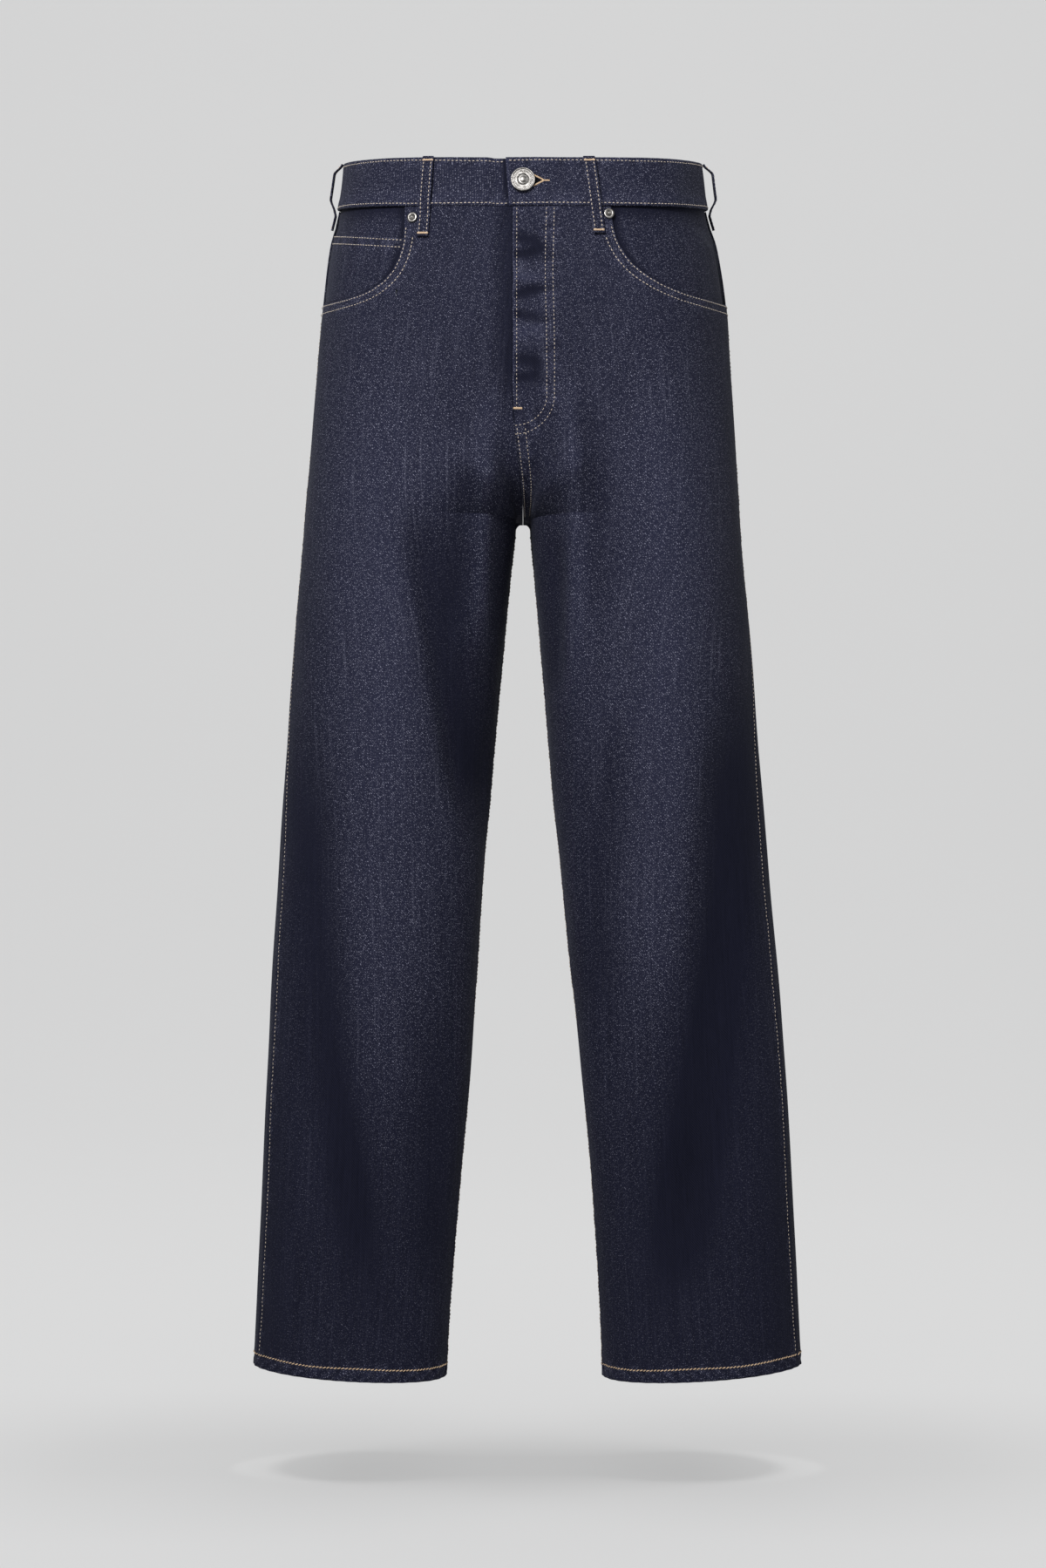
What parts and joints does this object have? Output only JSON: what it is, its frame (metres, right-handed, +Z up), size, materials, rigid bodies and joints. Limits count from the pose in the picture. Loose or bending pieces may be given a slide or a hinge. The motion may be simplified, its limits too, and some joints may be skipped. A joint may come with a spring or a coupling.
{
  "type": "straight leg jeans",
  "caption": "Dark indigo straight leg jeans in denim, filled out and upright, with an open waist, open hems, curved front pockets and patch back pockets",
  "frame": {"origin": "middle of the open waist, half way up the waistband at the sides", "axes": "+Z up along the standing height, front of the jeans towards -Y, wearer's right towards -X"},
  "size_m": [0.4639, 0.2627, 1.0534],
  "materials": {
    "denim": "dark indigo cotton twill, lightly washed, matt",
    "nickel": "satin nickel plate"
  },
  "bodies": {
    "root": {"front_right": "denim", "front_left": "denim", "back_right": "denim", "back_left": "denim", "yoke_right": "denim", "yoke_left": "denim", "waistband": "denim", "fly_underlap": "denim", "pocket_facing_right": "denim", "pocket_facing_left": "denim", "coin_pocket": "denim", "hem_right": "denim", "hem_left": "denim", "loop_front_right": "denim", "loop_front_left": "denim", "loop_side_right": "denim", "loop_side_left": "denim", "loop_back": "denim", "back_pocket_right": "denim", "back_pocket_left": "denim", "button": "nickel", "rivet_right": "nickel", "rivet_left": "nickel"}
  },
  "joints": []
}
